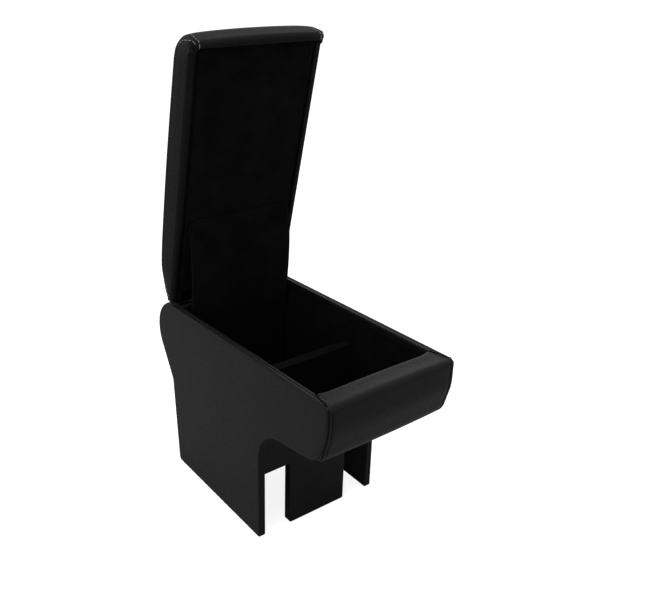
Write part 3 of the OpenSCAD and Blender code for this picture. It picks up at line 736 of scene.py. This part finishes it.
class ARMREST_OT_materials(Operator):
    """Makes the leatherette, thread, felt, board, foam and steel finishes"""

    bl_idname = "armrest.materials"
    bl_label = "Materials"

    def execute(self, context):
        look = settings(context)
        grain, fibre = pebble_grain_group(), fibre_group()
        colour = list(look.leather.colour)
        pebbles, rough, shine = look.leather.pebbles, look.leather.roughness, look.leather.shine
        felt, board, foam = (list(c) for c in (look.inside.felt, look.inside.board, look.inside.foam))
        MATERIALS.update(
            leather=leatherette("Black Leatherette", colour, pebbles, rough, grain, shine),
            # The lid's copy of the leatherette: its colour times 0.85 is painted shade; its added roughness
            # and lower shine make it matt.
            lid_leather=leatherette("Lid Leatherette In Painted Shade", [c * 0.85 for c in colour], pebbles, rough + 0.16,
                                    grain, shine * 0.8),
            thread=fibrous("White Thread", list(look.thread.colour), fibre, 2600.0, 0.1, 0.7, 0.3, vary=0.1),
            black_thread=fibrous("Black Thread", [0.0016] * 3, fibre, 2600.0, 0.1, spec=0.0),
            seam_thread=fibrous("Seam Thread", [0.0045, 0.0045, 0.0048], fibre, 2600.0, 0.1, spec=0.0),
            felt=fibrous("Black Needle Felt", felt, fibre, 1300.0, 0.7, 0.95, 0.03, 0.02, 0.5),
            # Near-black board: partly its own dark face, partly painted shade at the hinge and the lid's
            # groove.
            board=fibrous("Fibreboard", board, fibre, 420.0, 0.12, 0.8, 0.2, vary=0.12),
            foam=fibrous("Foam", foam, fibre, 1600.0, 0.5, vary=0.08),
            # The steel's near-black colour is painted shade for the shadowed hinge.
            steel=steel_in_painted_shade("Steel Darkened As Painted Shade", list(look.inside.steel), fibre))
        return {"FINISHED"}


class ARMREST_OT_inner_parts(Operator):
    """Finishes the boards, foam, felt, screws and hinge that keep the frame's own shape"""

    bl_idname = "armrest.inner_parts"
    bl_label = "Boards, felt and hinge"

    def execute(self, context):
        slots = {s["node"]: s["material_slot"] for s in FRAME["record"]["subparts"]}
        for name, obj in FRAME["nodes"].items():
            obj.data.materials.clear()
            obj.data.materials.append(MATERIALS[slots.get(name, "leather")])
        return {"FINISHED"}


class ARMREST_OT_cheek_covers(Operator):
    """Makes the leather over the two side cheeks, folded round every edge"""

    bl_idname = "armrest.cheek_covers"
    bl_label = "Cheek covers"

    def execute(self, context):
        r = settings(context).leather.edge_round / MM
        for side, name in SIDES:
            obj = piece(name + "_cheek_leather", loft(cheek_rings(side, r)), "box", sharp=60)
            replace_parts(obj, name + "_side_cover")
        return {"FINISHED"}


class ARMREST_OT_front_cover(Operator):
    """Makes the leather of the nose, the front panel and its tongue"""

    bl_idname = "armrest.front_cover"
    bl_label = "Front cover"

    def execute(self, context):
        look = settings(context)
        path = nose_path()
        proud_, crown_ = look.leather.nose_proud / MM, look.leather.nose_crown / MM

        def fade(i):
            y, z = path[i]
            return 1 - smooth_step((y + 80) / 60.0) if z < 180 else smooth_step((WALL_IN + 2.6 - y) / 4.0)

        def half_width(i):
            return nose_half_width(path[i])

        def bend(i, x):
            y, z = path[i]
            on_top = 1 - band_share(y) if z > BAND_Z else 0.0
            return 4.0 * max(0.0, min(1.0, on_top)) * max(0.0, (abs(x) - 60) / 16.2) ** 2

        def lift(i):
            y, z = path[i]
            chin = smooth_step((200 - z) / 26) * smooth_step((-y - 30) / 55)
            across = max(0.0, min(1.0, (WALL_IN - 1 - y) / (NOSE - 3 + WALL_IN)))
            dish = 0.7 * math.sin(math.pi * across) if z > rim_z(y) - 1 else 0.0
            return proud_ * fade(i) - 0.03 * (1 - fade(i)) + look.leather.chin_full / MM * chin - dish

        rows = strip(path, half_width, lift, lambda i: crown_ * fade(i), outside=-1,
                     grooves=((NOSE_SEAM, 0.7, 0.9),), bend=bend,
                     sewn=lambda i: smooth_step((rim_z(path[i][0]) - path[i][1] - 1.5) / 5))
        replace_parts(sheet_piece("nose_leather", rows, (0, -1, 0.1)), "front_cover")

        def seam(side, top, inward, deep):
            """The places of a cord: at the mitre of the top band, or down an edge of the nose's front."""
            line = []
            for i, (y, z) in enumerate(path):
                on_top = y > -NOSE + 2.5 and z > BAND_Z
                if z < 158 or (z < BAND_Z and y > -84) or i < 5 or on_top != top:
                    continue
                t = unit(np.array(path[i + 1]) - np.array(path[i - 1]))
                high = smooth_step((y + NOSE - 1) / 3.0) if on_top else 0.0
                q = np.array((y, z)) + np.array([t[1], -t[0]]) * (lift(i) + deep + 0.8 * high)
                x = half_width(i) - inward
                dy = bend(i, x)
                line.append((np.array((side * x, q[0] + dy, q[1] - dy * SLOPE)), 1 + 0.7 * high))
            return line

        for side, name in SIDES:
            for kind, thread, cords in (("mitre", "black_thread", ((0.0, -0.55),)),
                                        ("nose", "seam_thread", ((0.0, -0.75), (NOSE_SEAM, -0.8)))):
                points, faces = [], []
                for inward, deep in cords:
                    self.cord(seam(side, kind == "mitre", inward, deep), look.thread.nose_cord / MM / 2,
                              points, faces)
                piece("%s_%s_seam" % (name, kind), (points, faces), "box", thread)
        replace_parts(piece("panel_leather", self.panel(), "box", sharp=60), "front_cover")
        return {"FINISHED"}

    def cord(self, line, radius, points, faces):
        """A cord along a seam of the nose's cover, through places with their relative thickness."""
        rings = []
        for i, (p, fat) in enumerate(line):
            along = unit(line[min(len(line) - 1, i + 1)][0] - line[max(0, i - 1)][0])
            out = unit(np.array([0.0, along[2], -along[1]]))
            side = np.cross(out, along)
            rings.append([place(p + radius * fat * (out * math.cos(a) + side * math.sin(a)))
                          for a in np.linspace(0, 2 * math.pi, 9)[:-1]])
        add_tube(rings, points, faces)

    def panel(self):
        """The T-shaped front panel and its tongue, with the leather folded round to the back."""
        t, w = TONGUE_W / 2, CHEEK_IN - 0.1
        corners = [(-t, 0, 2), (t, 0, 2), (t, SLOT_H, 1.0), (w, SLOT_H, 1.5), (w, PANEL_TOP + 6, 0),
                   (-w, PANEL_TOP + 6, 0), (-w, SLOT_H, 1.5), (-t, SLOT_H, 1.0)]

        def insets(d):
            return [d * 0.4, d, d, d, 0.2, d, d, d]

        rings, back, r = [], SKIN + PANEL_T + SKIN, 1.8
        turn = [(r * (1 - math.cos(a)), r * (1 - math.sin(a))) for a in np.linspace(0, math.pi / 2, 5)]
        shape = [(0.0, r + 1.5)] + turn + [(back - y, d) for y, d in turn[::-1]]
        shape += [(back, 11.4), (back - 0.4, 12.0), (back - SKIN - 0.4, 12.1)]
        for y, d in shape:
            rings.append([place((p[0], y, p[1])) for p in rounded(inset(corners, insets(d)), 4)])
        return loft(rings)


class ARMREST_OT_rear_cover(Operator):
    """Makes the leather over the rear bulge"""

    bl_idname = "armrest.rear_cover"
    bl_label = "Rear cover"

    def execute(self, context):
        path = rear_path()
        rows = strip(path, lambda i: CHEEK_IN - 0.1, lambda i: 0.15, lambda i: 0.8,
                     grooves=((3.2, 0.7, 0.3),))
        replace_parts(sheet_piece("rear_leather", rows, (0, 1, 0.2)), "rear_cover")
        return {"FINISHED"}


class ARMREST_OT_lid_cushion(Operator):
    """Makes the lid's padded cover with its two side seams and the lip at its front"""

    bl_idname = "armrest.lid_cushion"
    bl_label = "Lid cushion"

    def execute(self, context):
        cols = lid_columns(settings(context))
        rings = [lid_section(-1, c) for c in cols[:0:-1]] + [lid_section(1, c) for c in cols]
        obj = piece("lid_cushion", loft(rings), "lid", "lid_leather")
        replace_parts(obj, "lid_top_cover", "lid_left_cover", "lid_right_cover", "lid_foam", "lid_board")
        return {"FINISHED"}


class ARMREST_OT_lid_lining(Operator):
    """Makes the felt panel under the lid"""

    bl_idname = "armrest.lid_lining"
    bl_label = "Lid lining"

    def execute(self, context):
        w, front, rear = LINING_HALF, LID_L - LIP_D - 1.2, 20.5
        corners = [(-w, -front, 5.0), (w, -front, 5.0), (w, -rear, 3.0), (-w, -rear, 3.0)]
        rings, face = [], LID_Z - 0.4
        groove = ((LID_Z + 5.0, -5.6), (LID_Z + 0.2, -5.6), (LID_Z + 0.3, -5.3), (LID_Z + 4.0, -4.6),
                  (LID_Z + 4.2, -1.0))
        edge = ((face + 0.8, -0.1), (face + 0.35, 0.2), (face + 0.1, 0.6), (face, 1.2), (face, 6.0))
        for z, d in groove + edge:
            ring = []
            for x, y in rounded(inset(corners, [d] * 4), 6):
                bow = 1.5 - 2.2 * (1 - (x / w) ** 2) if y < -front / 2 else 0.0
                ring.append(on_open_lid((x, y + bow, z + 1.7 * -y / front)))
            rings.append(ring)
        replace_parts(piece("lid_felt", loft(rings), "lid", "felt", sharp=70), "lid_lining")
        return {"FINISHED"}


class ARMREST_OT_stitching(Operator):
    """Sews the white stitches on both sides of the lid's seams"""

    bl_idname = "armrest.stitching"
    bl_label = "Stitching"

    def execute(self, context):
        look = settings(context)
        for side, name in SIDES:
            points, faces = [], []
            for s, rear, turn, last in ((-look.thread.inner / MM, 5.6, 0.0, 119),
                                        (look.thread.outer / MM, 8.3, 6.0, 97)):
                lines = [self.line(side, look, u, s, rear, turn)[2:last] for u in (-0.8, 0.0, 0.8)]
                self.row(lines, look.thread, points, faces)
            piece(name + "_lid_stitches", (points, faces), "lid", "thread")
        return {"FINISHED"}

    def line(self, side, look, beside, s, rear, turn):
        """A row's places round the lid's ring: s from the seam in front, close to it along the lid, and rear
        from it behind. From the front end's upper corner on, it comes nearer to the seam by turn."""
        def section(at):
            return lid_section(side, lid_column(at + beside * (0.09 if at > ROLL_END else 1.0), look))

        line, front, along, end = [], section(s), section(min(s, 2.2)), section(rear)
        for i, (y, _) in enumerate(lid_ring(lid_column(s, look))):
            t, e = smooth_step((y + LID_L - 14) / 26), smooth_step((y + 40) / 30)
            p = section(s - turn * ((i - 79) / 13) ** 1.3)[i] if 79 < i < 97 else front[i]
            line.append(np.array((p * (1 - t) + along[i] * t) * (1 - e) + end[i] * e) / MM)
        return line

    def row(self, lines, thread, points, faces):
        """Stitches along the lid's outside: the rear end, the top, the front end and the lip."""
        middle = sum(lines[1]) / len(lines[1]) * np.array((0, 1, 1))
        across = [unit(b - a) for a, b in zip(lines[0], lines[2])]
        step = thread.pitch / MM / 4
        both = resample([np.concatenate((p, q * 1e-6)) for p, q in zip(lines[1], across)], step, closed=False)
        run, sideways = [p[:3] for p in both], [unit(p[3:] * 1e6) for p in both]
        reach, radius = thread.length / 2, thread.thickness / 2
        for i in range(2, len(run) - 2, 4):
            along = unit(run[i + 1] - run[i - 1])
            out = unit(np.cross(along, sideways[i]))
            if out @ (run[i] - middle) < 0:
                out = -out
            add_tube(self.stitch(Vector(run[i]) * MM, Vector(along), Vector(out), reach, radius,
                                 thread.sides), points, faces)

    def stitch(self, at, along, out, reach, radius, sides):
        """One stitch's rings: a short thread that comes up, lies on the leather and goes down again."""
        rings, across = [], along.cross(out)
        for u, lift, fat in ((-1, -0.9, 0.35), (-0.75, -0.1, 0.9), (0, 0.35, 1.0), (0.75, -0.1, 0.9),
                             (1, -0.9, 0.35)):
            turn = [2 * math.pi * k / sides for k in range(sides)]
            rings.append([at + along * (u * reach) + out * (radius * lift + radius * fat * math.sin(a))
                          + across * (radius * fat * math.cos(a)) for a in turn])
        return rings


class ARMREST_OT_flap(Operator):
    """Makes the felt sheet from the lid down into the bin, which bends at the hinge"""

    bl_idname = "armrest.flap"
    bl_label = "Flap"

    def execute(self, context):
        line = flap_points()
        rows = []
        for p in line:
            corner = max(0.0, FLAP_R - (line[0][1] - p[1]))
            half = FLAP_W / 2 - FLAP_R + math.sqrt(max(0.0, FLAP_R ** 2 - corner ** 2))
            rows.append([place((half * (k / 16 - 1), p[0], p[1])) for k in range(33)])
        obj = sheet_piece("hinge_flap_felt", rows, (0, -1, 0), FLAP_T, 0.0, None, "felt")
        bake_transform(obj)
        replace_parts(obj, "hinge_flap")
        return {"FINISHED"}


class ARMREST_OT_stage(Operator):
    """Sets the floor, the lights, the surround and the camera"""

    bl_idname = "armrest.stage"
    bl_label = "Stage"

    def execute(self, context):
        look = settings(context).stage
        scene = context.scene
        mesh = bpy.data.meshes.new("floor")
        mesh.from_pydata([(-4, -4, 0), (4, -4, 0), (4, 4, 0), (-4, 4, 0)], [], [(0, 1, 2, 3)])
        floor = link("floor", mesh, self.floor_material(list(look.floor)))
        floor.location.z = -0.0002
        self.lamp("top_light", (-0.15, -0.2, 1.9), (0, -0.05, 0.2), 1.3, look.top_light)
        self.lamp("left_light", (-1.7, -0.5, 0.9), (0, 0, 0.2), 1.2, look.side_light)
        self.lamp("back_light", (-1.1, 1.84, 1.47), (0, 0, 0.25), 1.0, look.back_light)
        self.lamp("right_light", (1.3, 1.55, 1.2), (0, 0, 0.25), 1.1, look.right_light)
        self.world(scene, look)
        self.camera(scene)
        scene.view_settings.view_transform = "Standard"
        return {"FINISHED"}

    def lamp(self, name, at, towards, size, watts):
        data = bpy.data.lights.new(name, "AREA")
        data.shape, data.size, data.energy = "DISK", size, watts
        obj = add_object(name, data)
        obj.location = at
        obj.rotation_euler = (Vector(towards) - Vector(at)).to_track_quat("-Z", "Y").to_euler()

    def floor_material(self, colour):
        """A matt floor that looks nearly white to the camera and keeps the shadow."""
        mat, tree, shader = start_material("Pale Floor", Base_Color=(*colour, 1), Roughness=0.9,
                                           Specular_IOR_Level=0.0)
        glow = node(tree, "ShaderNodeEmission", (0, -300))
        both = node(tree, "ShaderNodeAddShader", (300, 0))
        path = node(tree, "ShaderNodeLightPath", (-400, -300))
        lower = node(tree, "ShaderNodeMath", (-200, -300), operation="MULTIPLY")
        lower.inputs[1].default_value = 0.86
        join(tree, (path, "Is Camera Ray", lower, 0), (lower, 0, glow, "Strength"), (shader, 0, both, 0),
             (glow, 0, both, 1), (both, 0, tree.nodes["Material Output"], "Surface"))
        return mat

    def world(self, scene, look):
        """A dim surround for light, and a bright one where it is seen or mirrored."""
        world = bpy.data.worlds.new("Surround")
        world.use_nodes = True
        tree = world.node_tree
        light = tree.nodes["Background"]
        light.inputs["Color"].default_value = (1, 1, 1, 1)
        light.inputs["Strength"].default_value = look.surround
        seen = node(tree, "ShaderNodeBackground", (0, -200), Strength=look.backdrop)
        seen.inputs["Color"].default_value = (1, 1, 1, 1)
        path = node(tree, "ShaderNodeLightPath", (-600, 0))
        one = node(tree, "ShaderNodeMath", (-400, 0), operation="MAXIMUM")
        two = node(tree, "ShaderNodeMath", (-200, 0), operation="MAXIMUM")
        mix = node(tree, "ShaderNodeMixShader", (300, 0))
        join(tree, (path, "Is Camera Ray", one, 0), (path, "Is Glossy Ray", one, 1), (one, 0, two, 0),
             (path, "Is Transmission Ray", two, 1), (two, 0, mix, "Fac"), (light, 0, mix, 1),
             (seen, 0, mix, 2), (mix, 0, tree.nodes["World Output"], "Surface"))
        scene.world = world

    def camera(self, scene):
        """The camera that the photograph's straight edges give."""
        a, e, roll = math.radians(-38.53), math.radians(25.08), math.radians(1.78)
        back = Vector((math.sin(a) * math.cos(e), -math.cos(a) * math.cos(e), math.sin(e)))
        right = Vector((math.cos(a), math.sin(a), 0))
        up = back.cross(right)
        x = right * math.cos(roll) + up * math.sin(roll)
        y = up * math.cos(roll) - right * math.sin(roll)
        data = bpy.data.cameras.new("camera")
        data.sensor_width, data.sensor_fit = 36.0, "HORIZONTAL"
        data.lens = 824.77 * data.sensor_width / 653
        data.clip_start = 0.01
        obj = add_object("camera", data)
        turn = Matrix((x, y, back)).transposed().to_4x4()
        obj.matrix_world = Matrix.Translation(place((-502.18, -636.43, 664.65))) @ turn
        scene.camera = obj


class ARMREST_PT_panel(Panel):
    """Lists the armrest's settings and its pieces"""

    bl_label = "Armrest"
    bl_idname = "ARMREST_PT_panel"
    bl_space_type = "VIEW_3D"
    bl_region_type = "UI"
    bl_category = "Armrest"

    def draw(self, context):
        look = settings(context)
        for label, group in (("Leather", look.leather), ("Thread", look.thread), ("Inside", look.inside),
                             ("Stage", look.stage)):
            box = self.layout.box()
            box.label(text=label)
            for key in group.__annotations__:
                box.prop(group, key)
        for operator in OPERATORS:
            self.layout.operator(operator.bl_idname)


OPERATORS = (ARMREST_OT_materials, ARMREST_OT_inner_parts, ARMREST_OT_cheek_covers, ARMREST_OT_front_cover,
             ARMREST_OT_rear_cover, ARMREST_OT_lid_cushion, ARMREST_OT_lid_lining, ARMREST_OT_stitching,
             ARMREST_OT_flap, ARMREST_OT_stage)
CLASSES = (LeatherSettings, ThreadSettings, InsideSettings, StageSettings, ArmrestSettings) + OPERATORS + (
    ARMREST_PT_panel,)


def register():
    for cls in CLASSES:
        bpy.utils.register_class(cls)
    bpy.types.Scene.armrest = PointerProperty(type=ArmrestSettings)


def unregister():
    del bpy.types.Scene.armrest
    for cls in reversed(CLASSES):
        bpy.utils.unregister_class(cls)


def main():
    register()
    bpy.ops.armrest.materials()
    bpy.ops.armrest.stage()
    bpy.ops.armrest.inner_parts()
    bpy.ops.armrest.cheek_covers()
    bpy.ops.armrest.front_cover()
    bpy.ops.armrest.rear_cover()
    bpy.ops.armrest.lid_cushion()
    bpy.ops.armrest.lid_lining()
    bpy.ops.armrest.stitching()
    bpy.ops.armrest.flap()


if __name__ == "__main__":
    main()
